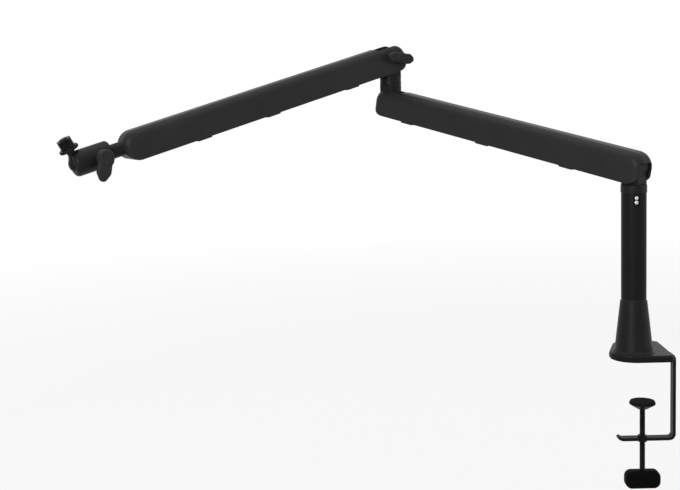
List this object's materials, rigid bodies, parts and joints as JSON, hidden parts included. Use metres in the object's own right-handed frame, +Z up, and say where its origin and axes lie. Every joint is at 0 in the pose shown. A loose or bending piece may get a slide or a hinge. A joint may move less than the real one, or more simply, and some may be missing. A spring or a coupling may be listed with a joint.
{
  "type": "microphone boom arm",
  "caption": "Black desk-clamp microphone boom arm: turning post, spring-balanced lower and upper arms joined by a swivelling elbow, and a ball head with lock levers.",
  "frame": {"origin": "desk surface under the middle of the post", "axes": "+Z up, +X towards the back of the clamp, the arm reaches towards -X"},
  "size_m": [0.6444, 0.2919, 0.4758],
  "materials": {
    "arm_coat": "satin",
    "cast_coat": "satin",
    "steel_coat": "satin",
    "black_plastic": "matte",
    "knob_plastic": "matte",
    "bearing_plastic": "matte",
    "pad_rubber": "matte",
    "black_steel": "satin",
    "bright_steel": "satin"
  },
  "bodies": {
    "base": {"clamp_bracket": "steel_coat", "desk_pad": "pad_rubber", "base_socket": "cast_coat", "flange_screws": "bright_steel", "socket_bush": "bearing_plastic"},
    "clamp_pad": {"pressure_pad": "steel_coat", "pad_rubber": "pad_rubber"},
    "clamp_screw": {"clamp_screw": "black_steel", "clamp_knob": "knob_plastic", "knob_pin": "bright_steel"},
    "post": {"post_tube": "steel_coat", "base_spindle": "bright_steel", "shoulder_knuckle": "cast_coat", "post_screws": "bright_steel", "shoulder_link_pin": "bright_steel", "shoulder_spring_pin": "bright_steel"},
    "lower_arm": {"lower_arm_shell": "arm_coat", "shoulder_pin": "black_steel", "lower_elbow_pin": "black_steel", "lower_friction_washers": "bearing_plastic", "lower_cable_clips": "black_plastic", "lower_balance_spring": "bright_steel", "lower_spring_anchor": "cast_coat", "lower_anchor_screw": "black_steel"},
    "parallel_link": {"parallel_link": "bright_steel"},
    "elbow_lower": {"elbow_lower_knuckle": "cast_coat", "elbow_link_pin": "bright_steel", "swivel_spindle": "bright_steel", "swivel_washer": "bearing_plastic"},
    "elbow_upper": {"elbow_upper_knuckle": "cast_coat", "elbow_spring_pin": "bright_steel", "swivel_screw": "bright_steel"},
    "upper_arm": {"upper_arm_shell": "arm_coat", "elbow_bolt": "black_steel", "elbow_lever_washer": "bearing_plastic", "upper_friction_washers": "bearing_plastic", "upper_cable_clips": "black_plastic", "upper_balance_spring": "bright_steel", "upper_spring_anchor": "cast_coat", "upper_anchor_screw": "black_steel", "tip_neck": "cast_coat", "tip_screws": "black_steel", "neck_screw": "bright_steel"},
    "elbow_lever": {"elbow_lever": "black_plastic"},
    "ball_head": {"ball_housing": "cast_coat", "housing_cap": "cast_coat", "ball_seat": "bearing_plastic"},
    "head_lever": {"head_lever": "black_plastic", "pressure_screw": "bright_steel"},
    "ball_stud": {"ball_stud": "black_steel", "thread_adapter": "black_steel"},
    "lock_ring": {"lock_ring": "black_steel"}
  },
  "joints": [
    {"name": "base_swivel", "type": "hinge", "parent": "base", "child": "post", "pos_m": [0, 0, 0.0617], "axis": [0, 0, 1], "continuous": true},
    {"name": "lower_arm_tilt", "type": "hinge", "parent": "post", "child": "lower_arm", "pos_m": [0, 0, 0.201], "axis": [0.7193, 0.6947, 0], "range_deg": [-20.8, 54.2], "deforming": ["lower_balance_spring"]},
    {"name": "parallel_link_tilt", "type": "hinge", "parent": "post", "child": "parallel_link", "pos_m": [-0.00337, 0.00349, 0.19169], "axis": [0.7193, 0.6947, 0], "range_deg": [-20.8, 54.2]},
    {"name": "elbow_level", "type": "hinge", "parent": "lower_arm", "child": "elbow_lower", "pos_m": [-0.23882, 0.24731, 0.26658], "axis": [0.7193, 0.6947, 0], "range_deg": [-54.2, 20.8]},
    {"name": "elbow_swivel", "type": "hinge", "parent": "elbow_lower", "child": "elbow_upper", "pos_m": [-0.23882, 0.24731, 0.32058], "axis": [0, 0, 1], "range_deg": [-177, 22]},
    {"name": "upper_arm_tilt", "type": "hinge", "parent": "elbow_upper", "child": "upper_arm", "pos_m": [-0.23882, 0.24731, 0.32058], "axis": [-0.5255, 0.8508, 0], "range_deg": [-15.3, 59.7], "deforming": ["upper_balance_spring"]},
    {"name": "elbow_lever_turn", "type": "hinge", "parent": "upper_arm", "child": "elbow_lever", "pos_m": [-0.23882, 0.24731, 0.32058], "axis": [0.5255, -0.8508, 0], "range_deg": [-60, 60]},
    {"name": "head_swivel", "type": "hinge", "parent": "upper_arm", "child": "ball_head", "pos_m": [-0.58175, 0.03551, 0.21484], "axis": [-0.823, -0.5083, -0.2538], "continuous": true},
    {"name": "ball_tilt", "type": "hinge", "parent": "ball_head", "child": "ball_stud", "pos_m": [-0.58175, 0.03551, 0.21484], "axis": [-0.5255, 0.8508, 0], "range_deg": [-95, 12]},
    {"name": "lock_ring_turn", "type": "hinge", "parent": "ball_stud", "child": "lock_ring", "pos_m": [-0.58175, 0.03551, 0.21484], "axis": [-0.4215, -0.2603, 0.8686], "continuous": true},
    {"name": "head_lever_turn", "type": "hinge", "parent": "ball_head", "child": "head_lever", "pos_m": [-0.55351, 0.03415, 0.22096], "axis": [0.5255, -0.8508, 0], "range_deg": [-60, 60]},
    {"name": "clamp_travel", "type": "slide", "parent": "base", "child": "clamp_pad", "axis": [0, 0, 1], "range_m": [-0.026, 0.03]},
    {"name": "clamp_screw_turn", "type": "hinge", "parent": "clamp_pad", "child": "clamp_screw", "pos_m": [0.0092, 0, -0.0852], "axis": [0, 0, 1], "range_deg": [-9370, 10810]}
  ],
  "couplings": [
    {"joint": "parallel_link_tilt", "follows": "lower_arm_tilt", "ratio": 1},
    {"joint": "elbow_level", "follows": "lower_arm_tilt", "ratio": -1},
    {"joint": "clamp_screw_turn", "follows": "clamp_travel", "rad_per_m": 6283.2}
  ]
}
